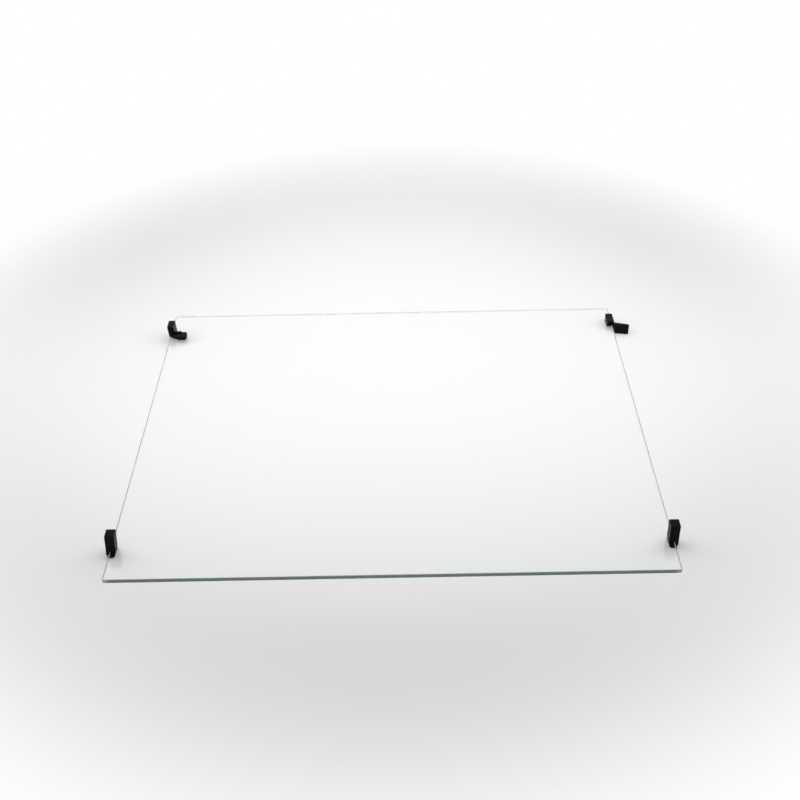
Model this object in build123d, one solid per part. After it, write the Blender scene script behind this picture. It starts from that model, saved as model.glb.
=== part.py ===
from build123d import *
from math import radians, tan
import os

# Inner glass of an oven door, lying as it rests: a clear pane with four black rubber holders
# pushed onto its two side edges. Millimetres. X runs across the door, Y from the near edge of the
# pane to its far edge, Z up. The origin is the middle of the pane.

# Pane
pane_width = 485.0
pane_depth = 408.0
pane_thickness = 4.0
pane_corner_radius = 2.0
pane_arris = 0.5  # ground chamfer along every edge

# Fit of the pane in the holders' slots, and the rubber that every holder has under the pane
grip_clearance = 0.05
foot_thickness = 2.85

# Moulded edges of the holders
post_rounding = 0.5
foot_rounding = 0.6

# Front spacers: an upright post on a slotted foot, one on each side edge
spacer_setback = 33.0  # from the pane's near edge to the post
spacer_depth = 9.4
spacer_height = 18.1  # above the pane
spacer_inner_reach = 5.1  # over the pane, at the slot's floor
spacer_outer_reach = 3.3  # beyond the pane's edge, at the slot's floor
spacer_left_lean = 4.8  # degrees, how far the soft left post leans over the pane
spacer_right_lean = 1.0  # degrees, the same for the right post
spacer_foot_reach = 4.4  # under the pane
spacer_foot_inset = 1.0  # the foot's outer side lies this much inside the post's
spacer_foot_overhang = 2.2  # the foot is longer than the post by this much at each end
spacer_foot_corner = 1.8

# Rear left holder: a broad post that leans outwards, with a flared tongue lying on the pane and a
# thicker heel between the two
broad_setback = 28.7  # from the pane's far edge to the post
broad_depth = 13.4
broad_height = 12.5  # above the pane
broad_inner_reach = 6.0  # over the pane, at the slot's floor
broad_outer_reach = 0.7  # beyond the pane's edge, at the slot's floor
broad_lean = 4.5  # degrees, outwards
broad_foot_reach = 5.6  # under the pane
broad_foot_shortfall = 7.0  # the grip and the foot end this much behind the post's front
tongue_reach = 18.5  # over the pane
tongue_thickness = 4.0
tongue_root = 0.9  # from the pane's edge to the tongue
tongue_step = 1.7  # in front of the post at the tongue's root
tongue_shoulder = 10.7  # over the pane, where the flare ends
tongue_front = 7.1  # in front of the post beyond the flare
tongue_back = 3.4  # behind the post's front
tongue_shoulder_radius = 4.0
tongue_near_radius = 3.2
tongue_far_radius = 2.0
heel_reach = 12.8  # over the pane
heel_rise = 1.3  # above the tongue
heel_corner_radius = 0.8

# Rear right holder: a low bar along the edge, with a neck that carries a lug pointing outwards
bar_setback = 18.7  # from the pane's far edge to the bar
bar_length = 17.1
bar_height = 4.5  # above the pane
bar_inner_reach = 5.7  # over the pane
bar_outer_reach = 1.7  # beyond the pane's edge
jaw_reach = 5.4  # under the pane
jaw_shortfall = 5.0  # the jaw under the pane ends this much behind the bar's front
neck_thickness = 1.3  # beyond the pane's edge
neck_height = 2.6  # above the pane
neck_lift = 5.6  # the neck clears the rest level by this much
neck_root = 8.0  # length of the neck inside the bar
lug_gap = 0.6  # between the bar's front and the lug
lug_length = 15.4  # from the neck to the tip
lug_height = 11.4  # from the rest level
lug_root_thickness = 5.4
lug_tip_thickness = 3.2
lug_sweep = 11.9  # degrees, the tip leans towards the pane's near edge
lug_corner_radius = 1.0

# Levels and edges that the pieces share
pane_top = pane_thickness / 2
slot_top = pane_top + grip_clearance
slot_bottom = -slot_top
rest_level = slot_bottom - foot_thickness
side_edge = pane_width / 2
far_edge = pane_depth / 2


def glass_pane():
    """Flat sheet with rounded corners and a ground arris along every edge."""
    outline = RectangleRounded(pane_width, pane_depth, pane_corner_radius)
    sheet = extrude(outline, amount=pane_thickness / 2, both=True)
    rims = sheet.faces().filter_by(Axis.Z).edges()
    return chamfer(rims, pane_arris)


def slot():
    """Room that the pane takes up in a holder, with the grip clearance all round."""
    return Box(
        pane_width + 2 * grip_clearance,
        pane_depth + 2 * grip_clearance,
        pane_thickness + 2 * grip_clearance,
    )


def upright(outer, inner, outer_lean, inner_lean, height, y_front, y_back):
    """Post over the left edge of the pane, from the slot's floor to its rounded top. outer and
    inner are its reach beyond and over the edge there, and each lean is what it loses at the top."""
    top = pane_top + height
    section = make_face(
        Polyline(
            (-side_edge - outer, slot_bottom),
            (-side_edge - outer + outer_lean, top),
            (-side_edge + inner - inner_lean, top),
            (-side_edge + inner, slot_bottom),
            close=True,
        )
    )
    post = extrude(Plane.XZ.offset(-y_front) * section, amount=y_front - y_back)
    floor_edges = post.faces().sort_by(Axis.Z)[0].edges()
    return fillet(post.edges() - floor_edges, post_rounding)


def pad(outer, inner, y_front, y_back, outer_radius, inner_radius):
    """Foot under the left edge of the pane, with upright corners of two radii and a rounded sole."""
    plan = Pos(-side_edge + (inner - outer) / 2, (y_front + y_back) / 2) * Rectangle(
        outer + inner, y_back - y_front
    )
    plan = fillet(plan.vertices().group_by(Axis.X)[0], outer_radius)
    plan = fillet(plan.vertices().group_by(Axis.X)[-1], inner_radius)
    foot = extrude(Pos(0, 0, rest_level) * plan, amount=foot_thickness)
    return fillet(foot.faces().sort_by(Axis.Z)[0].edges(), foot_rounding)


def front_spacer(lean_angle):
    """Upright post on a slotted foot, at the left edge. The post leans over the pane."""
    y_front = -far_edge + spacer_setback
    y_back = y_front + spacer_depth
    lean = (spacer_height + pane_top - slot_bottom) * tan(radians(lean_angle))
    post = upright(
        spacer_outer_reach, spacer_inner_reach, lean, -lean, spacer_height, y_front, y_back
    )
    foot = pad(
        spacer_outer_reach - spacer_foot_inset,
        spacer_foot_reach,
        y_front - spacer_foot_overhang,
        y_back + spacer_foot_overhang,
        spacer_foot_corner,
        spacer_foot_corner,
    )
    return post + foot - slot()


def tongue(y_front):
    """Flat tongue on the pane at its left edge. Its near side flares out from the front of the post,
    which is at y_front, and runs on to a rounded tip."""
    root = -side_edge + tongue_root
    tip = -side_edge + tongue_reach
    y_near = y_front - tongue_front
    y_far = y_front + tongue_back
    shoulder = (-side_edge + tongue_shoulder, y_near)
    plan = make_face(
        Polyline(
            (root, y_front - tongue_step),
            shoulder,
            (tip, y_near),
            (tip, y_far),
            (root, y_far),
            close=True,
        )
    )
    rounds = (
        (shoulder, tongue_shoulder_radius),
        ((tip, y_near), tongue_near_radius),
        ((tip, y_far), tongue_far_radius),
    )
    for corner, radius in rounds:
        plan = fillet(plan.vertices().sort_by_distance(corner)[0], radius)
    flat = extrude(Pos(0, 0, slot_top) * plan, amount=tongue_thickness)
    return fillet(flat.faces().sort_by(Axis.Z)[-1].edges(), foot_rounding)


def heel(y_front):
    """Thick root of the tongue, beside the post, from the post's front at y_front to the tongue's far
    side. It starts inside the post."""
    length = heel_reach - tongue_root
    plan = Pos(-side_edge + tongue_root + length / 2, y_front + tongue_back / 2) * Rectangle(
        length, tongue_back
    )
    plan = fillet(plan.vertices().group_by(Axis.X)[-1], heel_corner_radius)
    block = extrude(Pos(0, 0, slot_top) * plan, amount=tongue_thickness + heel_rise)
    return fillet(block.faces().sort_by(Axis.Z)[-1].edges(), foot_rounding)


def rear_left_holder():
    """Broad post with a tongue on the pane. It grips the edge behind the front of the post."""
    y_back = far_edge - broad_setback
    y_front = y_back - broad_depth
    y_foot = y_front + broad_foot_shortfall
    lean = (broad_height + pane_top - slot_bottom) * tan(radians(broad_lean))
    post = upright(
        broad_outer_reach, broad_inner_reach, -lean, lean, broad_height, y_front, y_back
    )
    foot = pad(broad_outer_reach, broad_foot_reach, y_foot, y_back, foot_rounding, foot_rounding)
    undercut = Pos(-side_edge, y_foot, slot_top) * Box(
        2 * (broad_outer_reach + lean),
        broad_depth,
        slot_top - slot_bottom,
        align=(Align.CENTER, Align.MAX, Align.MAX),
    )
    return post - undercut + tongue(y_front) + heel(y_front) + foot - slot()


def lug(y_root):
    """Lug pointing outwards at the left edge: a tapered, swept plan that stands on the rest level.
    y_root is the far side of its root, which lies in the middle of the neck."""
    root = -side_edge - neck_thickness / 2
    tip = -side_edge - neck_thickness - lug_length
    y_middle = y_root - lug_root_thickness / 2
    y_tip = y_middle - (root - tip) * tan(radians(lug_sweep))
    plan = make_face(
        Polyline(
            (root, y_middle - lug_root_thickness / 2),
            (root, y_middle + lug_root_thickness / 2),
            (tip, y_tip + lug_tip_thickness / 2),
            (tip, y_tip - lug_tip_thickness / 2),
            close=True,
        )
    )
    plan = fillet(plan.vertices(), lug_corner_radius)
    block = extrude(Pos(0, 0, rest_level) * plan, amount=lug_height)
    return fillet(block.faces().filter_by(Axis.Z).edges(), foot_rounding)


def neck(y_front, y_back):
    """Strip along the outside of the pane's left edge."""
    height = pane_top + neck_height - rest_level - neck_lift
    strip = Box(
        neck_thickness,
        y_back - y_front,
        height,
        align=(Align.MAX, Align.MIN, Align.MIN),
    )
    return Pos(-side_edge, y_front, rest_level + neck_lift) * strip


def rear_right_holder():
    """Slotted bar with a neck and an outward lug, shaped at the left edge and mirrored."""
    y_back = far_edge - bar_setback
    y_front = y_back - bar_length
    y_lug = y_front - lug_gap
    y_jaw = y_front + jaw_shortfall
    bar = upright(bar_outer_reach, bar_inner_reach, 0, 0, bar_height, y_front, y_back)
    jaw = pad(bar_outer_reach, jaw_reach, y_jaw, y_back, foot_rounding, foot_rounding)
    strip = neck(y_lug - lug_root_thickness / 2, y_front + neck_root)
    return mirror(bar + jaw + strip + lug(y_lug) - slot(), about=Plane.YZ)


nodes = {
    "glass_pane": glass_pane(),
    "front_left_spacer": front_spacer(spacer_left_lean),
    "front_right_spacer": mirror(front_spacer(spacer_right_lean), about=Plane.YZ),
    "rear_left_holder": rear_left_holder(),
    "rear_right_holder": rear_right_holder(),
}

os.makedirs("parts", exist_ok=True)
for name, solid in nodes.items():
    export_step(solid, f"parts/{name}.step")
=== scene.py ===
"""Inner glass of an oven door: gives the pane and its four rubber holders their finish and lays
them on a pale table. Metres, in the frame of the solids."""

from math import radians

import bmesh
import bpy
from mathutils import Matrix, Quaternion, Vector


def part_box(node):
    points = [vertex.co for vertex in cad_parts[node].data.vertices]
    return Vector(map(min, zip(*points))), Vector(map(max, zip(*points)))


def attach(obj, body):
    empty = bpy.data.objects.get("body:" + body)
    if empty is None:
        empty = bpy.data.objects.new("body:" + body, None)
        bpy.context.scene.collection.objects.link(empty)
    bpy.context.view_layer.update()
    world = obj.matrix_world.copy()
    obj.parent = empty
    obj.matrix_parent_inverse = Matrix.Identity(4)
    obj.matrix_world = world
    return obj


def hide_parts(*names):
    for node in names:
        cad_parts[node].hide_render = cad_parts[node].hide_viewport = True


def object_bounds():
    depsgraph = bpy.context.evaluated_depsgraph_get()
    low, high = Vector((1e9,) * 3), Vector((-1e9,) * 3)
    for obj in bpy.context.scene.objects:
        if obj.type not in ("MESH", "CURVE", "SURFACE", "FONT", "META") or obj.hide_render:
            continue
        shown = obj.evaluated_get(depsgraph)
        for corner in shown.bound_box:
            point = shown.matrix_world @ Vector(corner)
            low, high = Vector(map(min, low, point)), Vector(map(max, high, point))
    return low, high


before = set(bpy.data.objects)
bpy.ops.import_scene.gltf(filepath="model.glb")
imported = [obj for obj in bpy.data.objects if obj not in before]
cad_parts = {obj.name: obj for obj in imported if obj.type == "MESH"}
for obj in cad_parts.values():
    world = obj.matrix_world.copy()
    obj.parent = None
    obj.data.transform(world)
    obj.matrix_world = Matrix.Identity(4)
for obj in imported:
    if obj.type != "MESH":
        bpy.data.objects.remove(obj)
CAD_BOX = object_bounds()

bl_info = {
    "name": "Oven Door Inner Glass",
    "version": (1, 0, 0),
    "blender": (4, 5, 0),
    "location": "View3D > Sidebar > Oven Glass",
    "description": "Glass and rubber finishes for an oven door's inner pane, and its table",
    "category": "Object",
}

PANE = "glass_pane"
FRONT_SPACERS = ("front_left_spacer", "front_right_spacer")
REAR_LEFT_HOLDER = "rear_left_holder"
REAR_RIGHT_HOLDER = "rear_right_holder"
RUBBER = "moulded_rubber"

REST_LEVEL = CAD_BOX[0][2]
PANE_LOW, PANE_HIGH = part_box(PANE)

CORNER_SEGMENTS = 6
SMOOTH_ANGLE = radians(30)
LEVEL_RISE = 0.9  # least upward or downward part of the normal of a level face
ARRIS_RISE = 0.3  # the same for a face of the arris
PATCH_DETAIL = 4
PATCH_DISTORTION = 1.2
PATCH_RIM = (0.4, 0.68)  # noise levels between which a patch fades in
GRAIN_DETAIL = 2
TABLE_SIDES = 96
PICTURE_WIDTH = 36  # millimetres, which the focal length goes with


class GlassFinish(bpy.types.PropertyGroup):
    """Form and finish of the pane."""

    corner_radius: bpy.props.FloatProperty(
        name="Corner Radius",
        description="Radius of the pane's four upright corners",
        subtype="DISTANCE",
        unit="LENGTH",
        default=0.002,
        min=0,
    )
    arris: bpy.props.FloatProperty(
        name="Arris",
        description="Width of the chamfer ground along every edge",
        subtype="DISTANCE",
        unit="LENGTH",
        default=0.0005,
        min=0,
    )
    refraction: bpy.props.FloatProperty(
        name="Index of Refraction",
        description="Index of refraction of float glass",
        default=1.52,
        min=1,
    )
    tint: bpy.props.FloatVectorProperty(
        name="Tint",
        description="Colour of white seen through the pane",
        subtype="COLOR",
        size=4,
        min=0,
        max=1,
        default=(0.98, 0.99, 0.986, 1),
    )
    smear_size: bpy.props.FloatProperty(
        name="Smear Size",
        description="Width of one wiped smear on the faces",
        subtype="DISTANCE",
        unit="LENGTH",
        default=0.11,
        min=0.001,
    )
    smear_roughness: bpy.props.FloatProperty(
        name="Smear Roughness",
        description="Most that a wiped smear dulls the faces",
        subtype="FACTOR",
        default=0.02,
        min=0,
        max=1,
    )
    wave_size: bpy.props.FloatProperty(
        name="Roller Wave Size",
        description="Width of the waves that toughening leaves in the faces",
        subtype="DISTANCE",
        unit="LENGTH",
        default=0.16,
        min=0.001,
    )
    wave_depth: bpy.props.FloatProperty(
        name="Roller Wave Depth",
        description="Depth of the waves that toughening leaves in the faces",
        subtype="DISTANCE",
        unit="LENGTH",
        default=0.00004,
        min=0,
    )
    edge_tint: bpy.props.FloatVectorProperty(
        name="Edge Tint",
        description="Colour of the ground edges",
        subtype="COLOR",
        size=4,
        min=0,
        max=1,
        default=(0.52, 0.79, 0.81, 1),
    )
    edge_clarity: bpy.props.FloatProperty(
        name="Edge Clarity",
        description="Share of the ground edges that light still passes",
        subtype="FACTOR",
        default=0.7,
        min=0,
        max=1,
    )
    # The arris is whiter than the edges partly from its whiter grinding and partly as a painted
    # highlight of the light from above, which it faces.
    arris_tint_and_highlight: bpy.props.FloatVectorProperty(
        name="Arris Tint",
        description="Colour of the arris, which is ground whiter than the edges",
        subtype="COLOR",
        size=4,
        min=0,
        max=1,
        default=(0.68, 0.7, 0.705, 1),
    )
    arris_clarity: bpy.props.FloatProperty(
        name="Arris Clarity",
        description="Share of the arris that light still passes",
        subtype="FACTOR",
        default=0.5,
        min=0,
        max=1,
    )
    edge_gloss: bpy.props.FloatVectorProperty(
        name="Edge Roughness",
        description="Least and most roughness of the ground edges",
        size=2,
        min=0,
        max=1,
        default=(0.16, 0.26),
    )
    edge_patch_size: bpy.props.FloatProperty(
        name="Edge Patch Size",
        description="Width of one patch that is ground more dully",
        subtype="DISTANCE",
        unit="LENGTH",
        default=0.008,
        min=0.0001,
    )
    wheel_line_width: bpy.props.FloatProperty(
        name="Wheel Line Width",
        description="Width of the lines that the grinding wheel leaves along the edges",
        subtype="DISTANCE",
        unit="LENGTH",
        default=0.00025,
        min=0.00001,
    )
    wheel_line_stretch: bpy.props.FloatProperty(
        name="Wheel Line Stretch",
        description="Length of a wheel line, in widths",
        default=100,
        min=1,
    )
    wheel_line_depth: bpy.props.FloatProperty(
        name="Wheel Line Depth",
        description="Depth of the wheel lines",
        subtype="DISTANCE",
        unit="LENGTH",
        default=0.000004,
        min=0,
    )


class RubberFinish(bpy.types.PropertyGroup):
    """Finish of the four holders."""

    colour: bpy.props.FloatVectorProperty(
        name="Colour",
        description="Colour of the rubber",
        subtype="COLOR",
        size=4,
        min=0,
        max=1,
        default=(0.003, 0.003, 0.0032, 1),
    )
    bloom: bpy.props.FloatVectorProperty(
        name="Bloom",
        description="Colour of the dull film that rubber grows in patches",
        subtype="COLOR",
        size=4,
        min=0,
        max=1,
        default=(0.007, 0.007, 0.0073, 1),
    )
    bloom_size: bpy.props.FloatProperty(
        name="Bloom Size",
        description="Width of one dull patch",
        subtype="DISTANCE",
        unit="LENGTH",
        default=0.006,
        min=0.0001,
    )
    gloss: bpy.props.FloatProperty(
        name="Gloss",
        description="Strength of the rubber's reflections, as the shader's specular level",
        subtype="FACTOR",
        default=0.06,
        min=0,
        max=1,
    )
    roughness: bpy.props.FloatVectorProperty(
        name="Roughness",
        description="Roughness of the bare rubber and of its dull patches",
        size=2,
        min=0,
        max=1,
        default=(0.34, 0.5),
    )
    grain_size: bpy.props.FloatProperty(
        name="Grain Size",
        description="Width of one grain of the moulded texture",
        subtype="DISTANCE",
        unit="LENGTH",
        default=0.00035,
        min=0.00001,
    )
    grain_depth: bpy.props.FloatProperty(
        name="Grain Depth",
        description="Depth of the moulded texture",
        subtype="DISTANCE",
        unit="LENGTH",
        default=0.00003,
        min=0,
    )


class StageSettings(bpy.types.PropertyGroup):
    """Table, light and camera."""

    table_colour: bpy.props.FloatVectorProperty(
        name="Table Colour",
        description="Colour of the table",
        subtype="COLOR",
        size=4,
        min=0,
        max=1,
        default=(0.94, 0.937, 0.948, 1),
    )
    table_middle: bpy.props.FloatVectorProperty(
        name="Table Middle",
        description="Middle of the round table, at the level that the pane rests on",
        subtype="TRANSLATION",
        unit="LENGTH",
        size=3,
        default=(0, 0.1, REST_LEVEL),
    )
    table_fade: bpy.props.FloatVectorProperty(
        name="Table Fade",
        description="Distances from its middle between which the table fades into white",
        unit="LENGTH",
        size=2,
        min=0,
        default=(0.34, 0.6),
    )
    fill_strength: bpy.props.FloatProperty(
        name="Fill Strength",
        description="Even light from all round",
        default=0.2,
        min=0,
    )
    top_lamp_power: bpy.props.FloatProperty(
        name="Top Lamp Power",
        description="Power of the soft lamp overhead",
        subtype="POWER",
        unit="POWER",
        default=1.96,
        min=0,
    )
    top_lamp_size: bpy.props.FloatVectorProperty(
        name="Top Lamp Size",
        description="Width and depth of the soft lamp overhead",
        unit="LENGTH",
        size=2,
        min=0.01,
        default=(0.67, 1),
    )
    top_lamp_place: bpy.props.FloatVectorProperty(
        name="Top Lamp Place",
        description="Place of the soft lamp overhead, which points straight down",
        subtype="TRANSLATION",
        unit="LENGTH",
        size=3,
        default=(0, 0.21, 0.3),
    )
    side_lamp_power: bpy.props.FloatProperty(
        name="Side Lamp Power",
        description="Power of each soft lamp at the sides",
        subtype="POWER",
        unit="POWER",
        default=0.93,
        min=0,
    )
    side_lamp_size: bpy.props.FloatVectorProperty(
        name="Side Lamp Size",
        description="Width and height of each soft lamp at the sides",
        unit="LENGTH",
        size=2,
        min=0.01,
        default=(0.45, 0.45),
    )
    side_lamp_place: bpy.props.FloatVectorProperty(
        name="Side Lamp Place",
        description="Place of the right lamp, which points at the middle; the left one mirrors it",
        subtype="TRANSLATION",
        unit="LENGTH",
        size=3,
        default=(0.5, 0.085, 0.35),
    )
    camera_place: bpy.props.FloatVectorProperty(
        name="Camera Place",
        description="Where the camera stands",
        subtype="TRANSLATION",
        unit="LENGTH",
        size=3,
        default=(0.0153, -0.863, 0.6787),
    )
    camera_aim: bpy.props.FloatVectorProperty(
        name="Camera Aim",
        description="Point of the pane that the camera looks at",
        subtype="TRANSLATION",
        unit="LENGTH",
        size=3,
        default=(0.00845, 0.0414, 0),
    )
    camera_roll: bpy.props.FloatProperty(
        name="Camera Roll",
        description="Turn of the camera about its line of sight",
        subtype="ANGLE",
        unit="ROTATION",
        default=radians(-1.333),
    )
    camera_lens: bpy.props.FloatProperty(
        name="Lens",
        description="Focal length on a 36 mm wide picture, in millimetres",
        default=50.4,
        min=1,
    )


def new_group(name, output, detail, distortion):
    """Node group that starts from noise of a given size. Returns it, the noise and the socket of
    its one output."""
    group = bpy.data.node_groups.new(name, "ShaderNodeTree")
    nodes, links = group.nodes, group.links
    group.interface.new_socket("Vector", in_out="INPUT", socket_type="NodeSocketVector")
    group.interface.new_socket("Size", in_out="INPUT", socket_type="NodeSocketFloat")
    group.interface.new_socket(output, in_out="OUTPUT", socket_type="NodeSocketFloat")
    given, result = nodes.new("NodeGroupInput"), nodes.new("NodeGroupOutput")
    scale = nodes.new("ShaderNodeMath")
    scale.operation = "DIVIDE"
    scale.inputs[0].default_value = 1
    links.new(given.outputs["Size"], scale.inputs[1])
    noise = nodes.new("ShaderNodeTexNoise")
    noise.inputs["Detail"].default_value = detail
    noise.inputs["Distortion"].default_value = distortion
    links.new(given.outputs["Vector"], noise.inputs["Vector"])
    links.new(scale.outputs["Value"], noise.inputs["Scale"])
    return group, noise.outputs["Fac"], result.inputs[output]


def patches_group():
    """Node group: a mask of soft cloudy patches of a given size. Made on its first use."""
    made = bpy.data.node_groups.get("patches")
    if made:
        return made
    group, clouds, result = new_group("patches", "Mask", PATCH_DETAIL, PATCH_DISTORTION)
    rim = group.nodes.new("ShaderNodeMapRange")
    rim.interpolation_type = "SMOOTHSTEP"
    rim.inputs["From Min"].default_value, rim.inputs["From Max"].default_value = PATCH_RIM
    group.links.new(clouds, rim.inputs["Value"])
    group.links.new(rim.outputs["Result"], result)
    return group


def grain_group():
    """Node group: the height of a fine grain of a given size. Made on its first use."""
    made = bpy.data.node_groups.get("grain")
    if made:
        return made
    group, speckle, result = new_group("grain", "Height", GRAIN_DETAIL, 0)
    group.links.new(speckle, result)
    return group


def new_material(name):
    """Material with a Principled shader on its output and the coordinates of its piece."""
    material = bpy.data.materials.new(name)
    material.use_nodes = True
    nodes, links = material.node_tree.nodes, material.node_tree.links
    nodes.clear()
    output = nodes.new("ShaderNodeOutputMaterial")
    shader = nodes.new("ShaderNodeBsdfPrincipled")
    links.new(shader.outputs["BSDF"], output.inputs["Surface"])
    place = nodes.new("ShaderNodeTexCoord").outputs["Object"]
    return material, nodes, links, shader, place


def add_group(nodes, links, group, place, size):
    """The group in a material, at its own size; returns its output."""
    node = nodes.new("ShaderNodeGroup")
    node.node_tree = group
    node.inputs["Size"].default_value = size
    links.new(place, node.inputs["Vector"])
    return node.outputs[0]


def vary_roughness(nodes, links, shader, mask, low, high):
    """Runs the shader's roughness from low to high with a mask."""
    spread = nodes.new("ShaderNodeMapRange")
    spread.inputs["To Min"].default_value = low
    spread.inputs["To Max"].default_value = high
    links.new(mask, spread.inputs["Value"])
    links.new(spread.outputs["Result"], shader.inputs["Roughness"])


def add_bump(nodes, links, shader, height, depth):
    """Raises the shader's surface by a height map of a given depth."""
    bump = nodes.new("ShaderNodeBump")
    bump.inputs["Distance"].default_value = depth
    links.new(height, bump.inputs["Height"])
    links.new(bump.outputs["Normal"], shader.inputs["Normal"])


def clear_glass(finish):
    """Toughened float glass, clear, with faint waves and wiped smears."""
    material, nodes, links, shader, place = new_material("float_glass")
    shader.inputs["Base Color"].default_value = finish.tint
    shader.inputs["Transmission Weight"].default_value = 1
    shader.inputs["IOR"].default_value = finish.refraction
    smears = add_group(nodes, links, patches_group(), place, finish.smear_size)
    vary_roughness(nodes, links, shader, smears, 0, finish.smear_roughness)
    wave = nodes.new("ShaderNodeTexNoise")
    wave.inputs["Scale"].default_value = 1 / finish.wave_size
    wave.inputs["Detail"].default_value = 0
    links.new(place, wave.inputs["Vector"])
    add_bump(nodes, links, shader, wave.outputs["Fac"], finish.wave_depth)
    return material


def ground_glass(name, finish, tint, clarity):
    """Glass ground dull in uneven patches, with fine wheel lines along the edge."""
    material, nodes, links, shader, place = new_material(name)
    shader.inputs["Base Color"].default_value = tint
    shader.inputs["Transmission Weight"].default_value = clarity
    shader.inputs["IOR"].default_value = finish.refraction
    dull = add_group(nodes, links, patches_group(), place, finish.edge_patch_size)
    vary_roughness(nodes, links, shader, dull, *finish.edge_gloss)
    along = nodes.new("ShaderNodeMapping")
    lengthwise = 1 / finish.wheel_line_stretch
    along.inputs["Scale"].default_value = (lengthwise, lengthwise, 1)
    links.new(place, along.inputs["Vector"])
    drawn_out = along.outputs["Vector"]
    lines = add_group(nodes, links, grain_group(), drawn_out, finish.wheel_line_width)
    add_bump(nodes, links, shader, lines, finish.wheel_line_depth)
    return material


def moulded_rubber(finish):
    """Black rubber with the fine grain of its mould and a faint bloom. Made on its first use."""
    made = bpy.data.materials.get(RUBBER)
    if made:
        return made
    material, nodes, links, shader, place = new_material(RUBBER)
    shader.inputs["Specular IOR Level"].default_value = finish.gloss
    bloom = add_group(nodes, links, patches_group(), place, finish.bloom_size)
    tone = nodes.new("ShaderNodeMix")
    tone.data_type = "RGBA"
    tone.inputs["A"].default_value = finish.colour
    tone.inputs["B"].default_value = finish.bloom
    links.new(bloom, tone.inputs["Factor"])
    links.new(tone.outputs["Result"], shader.inputs["Base Color"])
    vary_roughness(nodes, links, shader, bloom, *finish.roughness)
    grain = add_group(nodes, links, grain_group(), place, finish.grain_size)
    add_bump(nodes, links, shader, grain, finish.grain_depth)
    return material


def dress(name, material):
    """Puts one material on every slot of a solid."""
    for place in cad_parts[name].material_slots:
        place.material = material


def select_edges(mesh, wanted):
    """Selects the edges of a mesh in edit mode for which wanted is true."""
    bpy.ops.mesh.select_all(action="DESELECT")
    bpy.ops.mesh.select_mode(type="EDGE")
    for edge in mesh.edges:
        edge.select_set(wanted(edge))
    mesh.select_flush_mode()


def is_upright(edge):
    """Whether an edge runs along Z."""
    way = edge.verts[1].co - edge.verts[0].co
    return abs(way.z) > 0.5 * way.length


def is_level(face):
    """Whether a face lies flat, as the two sides of the pane do."""
    return abs(face.normal.z) > LEVEL_RISE


def is_rim(edge):
    """Whether an edge bounds one of the two sides of the pane."""
    first, second = edge.link_faces
    return is_level(first) != is_level(second)


def finish_place(face):
    """Place of a face's finish in the pane's list: its flat sides, the arris, the edge."""
    if is_level(face):
        return 0
    return 1 if abs(face.normal.z) > ARRIS_RISE else 2


class OVENGLASS_OT_pane(bpy.types.Operator):
    """Model the pane, with rounded corners and a ground arris, and give it its glass"""

    bl_idname = "oven_glass.pane"
    bl_label = "Pane"

    def execute(self, context):
        finish = context.scene.oven_glass_finish
        bpy.ops.object.select_all(action="DESELECT")
        bpy.ops.mesh.primitive_cube_add(
            size=1, location=(PANE_LOW + PANE_HIGH) / 2, scale=PANE_HIGH - PANE_LOW
        )
        bpy.ops.object.transform_apply(location=True, rotation=True, scale=True)
        pane = context.object
        pane.name = "pane"
        bpy.ops.object.mode_set(mode="EDIT")
        select_edges(bmesh.from_edit_mesh(pane.data), is_upright)
        bpy.ops.mesh.bevel(offset=finish.corner_radius, segments=CORNER_SEGMENTS, affect="EDGES")
        select_edges(bmesh.from_edit_mesh(pane.data), is_rim)
        bpy.ops.mesh.bevel(offset=finish.arris, segments=1, affect="EDGES")
        bpy.ops.object.mode_set(mode="OBJECT")
        bpy.ops.object.shade_smooth_by_angle(angle=SMOOTH_ANGLE)
        for material in (
            clear_glass(finish),
            # The arris's whiter tint is partly its grinding and partly a painted highlight.
            ground_glass("ground_arris", finish, finish.arris_tint_and_highlight, finish.arris_clarity),
            ground_glass("ground_edge", finish, finish.edge_tint, finish.edge_clarity),
        ):
            pane.data.materials.append(material)
        for face in pane.data.polygons:
            face.material_index = finish_place(face)
        pane.visible_shadow = False
        pane.visible_diffuse = False
        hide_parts(PANE)
        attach(pane, "root")
        return {"FINISHED"}


class OVENGLASS_OT_front_spacers(bpy.types.Operator):
    """Give the two front spacers their rubber"""

    bl_idname = "oven_glass.front_spacers"
    bl_label = "Front Spacers"

    def execute(self, context):
        for name in FRONT_SPACERS:
            dress(name, moulded_rubber(context.scene.oven_rubber_finish))
        return {"FINISHED"}


class OVENGLASS_OT_rear_left_holder(bpy.types.Operator):
    """Give the rear left holder its rubber"""

    bl_idname = "oven_glass.rear_left_holder"
    bl_label = "Rear Left Holder"

    def execute(self, context):
        dress(REAR_LEFT_HOLDER, moulded_rubber(context.scene.oven_rubber_finish))
        return {"FINISHED"}


class OVENGLASS_OT_rear_right_holder(bpy.types.Operator):
    """Give the rear right holder its rubber"""

    bl_idname = "oven_glass.rear_right_holder"
    bl_label = "Rear Right Holder"

    def execute(self, context):
        dress(REAR_RIGHT_HOLDER, moulded_rubber(context.scene.oven_rubber_finish))
        return {"FINISHED"}


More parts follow.
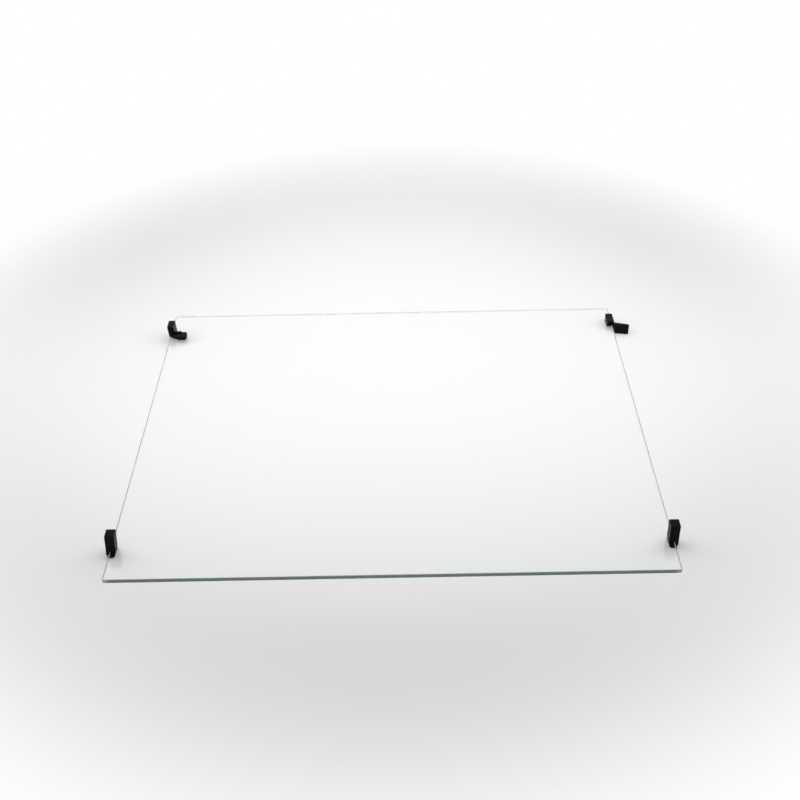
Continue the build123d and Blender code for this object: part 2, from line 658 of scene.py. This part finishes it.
def lay_table(settings):
    """Round pale table that fades into the white around it."""
    bpy.ops.object.select_all(action="DESELECT")
    bpy.ops.mesh.primitive_circle_add(
        vertices=TABLE_SIDES,
        radius=settings.table_fade[1],
        fill_type="NGON",
        location=settings.table_middle,
    )
    bpy.ops.object.transform_apply(location=True, rotation=True, scale=True)
    table = bpy.context.object
    table.name = "table"
    material, nodes, links, shader, place = new_material("table")
    shader.inputs["Base Color"].default_value = settings.table_colour
    shader.inputs["Specular IOR Level"].default_value = 0
    shader.inputs["Roughness"].default_value = 1
    away = nodes.new("ShaderNodeVectorMath")
    away.operation = "DISTANCE"
    away.inputs[1].default_value = settings.table_middle
    links.new(place, away.inputs[0])
    fade = nodes.new("ShaderNodeMapRange")
    fade.interpolation_type = "SMOOTHSTEP"
    fade.inputs["From Min"].default_value = settings.table_fade[0]
    fade.inputs["From Max"].default_value = settings.table_fade[1]
    fade.inputs["To Min"].default_value = 1
    fade.inputs["To Max"].default_value = 0
    links.new(away.outputs["Value"], fade.inputs["Value"])
    links.new(fade.outputs["Result"], shader.inputs["Alpha"])
    table.data.materials.append(material)


def hang_lamp(name, place, aim, size, power):
    """Oblong soft lamp that is neither seen nor mirrored in the glass."""
    turn = (aim - place).to_track_quat("-Z", "Y").to_euler()
    bpy.ops.object.light_add(type="AREA", location=place, rotation=turn)
    lamp = bpy.context.object
    lamp.name = name
    lamp.data.shape = "RECTANGLE"
    lamp.data.size, lamp.data.size_y = size
    lamp.data.energy = power
    lamp.visible_camera = False
    lamp.visible_glossy = False
    lamp.visible_transmission = False


def hang_lamps(settings):
    """One soft lamp overhead and one at each side."""
    overhead = Vector(settings.top_lamp_place)
    below = Vector((overhead.x, overhead.y, REST_LEVEL))
    hang_lamp("top_lamp", overhead, below, settings.top_lamp_size, settings.top_lamp_power)
    for name, side in (("left_lamp", -1), ("right_lamp", 1)):
        place = Vector(settings.side_lamp_place)
        place.x *= side
        hang_lamp(name, place, Vector(), settings.side_lamp_size, settings.side_lamp_power)


def fill_world(scene, settings):
    """Even fill light, white where it is seen directly, mirrored or through glass."""
    world = bpy.data.worlds.new("studio")
    world.use_nodes = True
    scene.world = world
    nodes, links = world.node_tree.nodes, world.node_tree.links
    nodes.clear()
    path = nodes.new("ShaderNodeLightPath")
    seen = path.outputs["Is Camera Ray"]
    for kind in ("Is Glossy Ray", "Is Transmission Ray"):
        either = nodes.new("ShaderNodeMath")
        either.operation = "MAXIMUM"
        links.new(seen, either.inputs[0])
        links.new(path.outputs[kind], either.inputs[1])
        seen = either.outputs["Value"]
    strength = nodes.new("ShaderNodeMapRange")
    strength.inputs["To Min"].default_value = settings.fill_strength
    strength.inputs["To Max"].default_value = 1
    links.new(seen, strength.inputs["Value"])
    light = nodes.new("ShaderNodeBackground")
    light.inputs["Color"].default_value = (1, 1, 1, 1)
    links.new(strength.outputs["Result"], light.inputs["Strength"])
    output = nodes.new("ShaderNodeOutputWorld")
    links.new(light.outputs["Background"], output.inputs["Surface"])


def place_camera(scene, settings):
    """Camera at the photograph's viewing angle."""
    place, aim = Vector(settings.camera_place), Vector(settings.camera_aim)
    turn = (aim - place).to_track_quat("-Z", "Y")
    turn = turn @ Quaternion((0, 0, 1), settings.camera_roll)
    bpy.ops.object.camera_add(location=place, rotation=turn.to_euler())
    camera = bpy.context.object
    camera.data.sensor_width = PICTURE_WIDTH
    camera.data.lens = settings.camera_lens
    scene.camera = camera


class OVENGLASS_OT_stage(bpy.types.Operator):
    """Lay the table and set up the light and the camera"""

    bl_idname = "oven_glass.stage"
    bl_label = "Table, Light and Camera"

    def execute(self, context):
        scene, settings = context.scene, context.scene.oven_glass_stage
        scene.view_settings.view_transform = "Standard"
        lay_table(settings)
        hang_lamps(settings)
        fill_world(scene, settings)
        place_camera(scene, settings)
        return {"FINISHED"}


class OVENGLASS_PT_sidebar(bpy.types.Panel):
    """Steps that build the dressed pane, in order"""

    bl_idname = "OVENGLASS_PT_sidebar"
    bl_label = "Oven Door Inner Glass"
    bl_space_type = "VIEW_3D"
    bl_region_type = "UI"
    bl_category = "Oven Glass"

    def draw(self, context):
        for step in STEPS:
            self.layout.operator(step.bl_idname)


STEPS = (
    OVENGLASS_OT_pane,
    OVENGLASS_OT_front_spacers,
    OVENGLASS_OT_rear_left_holder,
    OVENGLASS_OT_rear_right_holder,
    OVENGLASS_OT_stage,
)
CLASSES = (GlassFinish, RubberFinish, StageSettings, *STEPS, OVENGLASS_PT_sidebar)


def register():
    for cls in CLASSES:
        bpy.utils.register_class(cls)
    scene = bpy.types.Scene
    scene.oven_glass_finish = bpy.props.PointerProperty(type=GlassFinish)
    scene.oven_rubber_finish = bpy.props.PointerProperty(type=RubberFinish)
    scene.oven_glass_stage = bpy.props.PointerProperty(type=StageSettings)


def unregister():
    scene = bpy.types.Scene
    del scene.oven_glass_stage
    del scene.oven_rubber_finish
    del scene.oven_glass_finish
    for cls in reversed(CLASSES):
        bpy.utils.unregister_class(cls)


def main():
    register()
    bpy.ops.oven_glass.pane()
    bpy.ops.oven_glass.front_spacers()
    bpy.ops.oven_glass.rear_left_holder()
    bpy.ops.oven_glass.rear_right_holder()
    bpy.ops.oven_glass.stage()


if __name__ == "__main__":
    main()
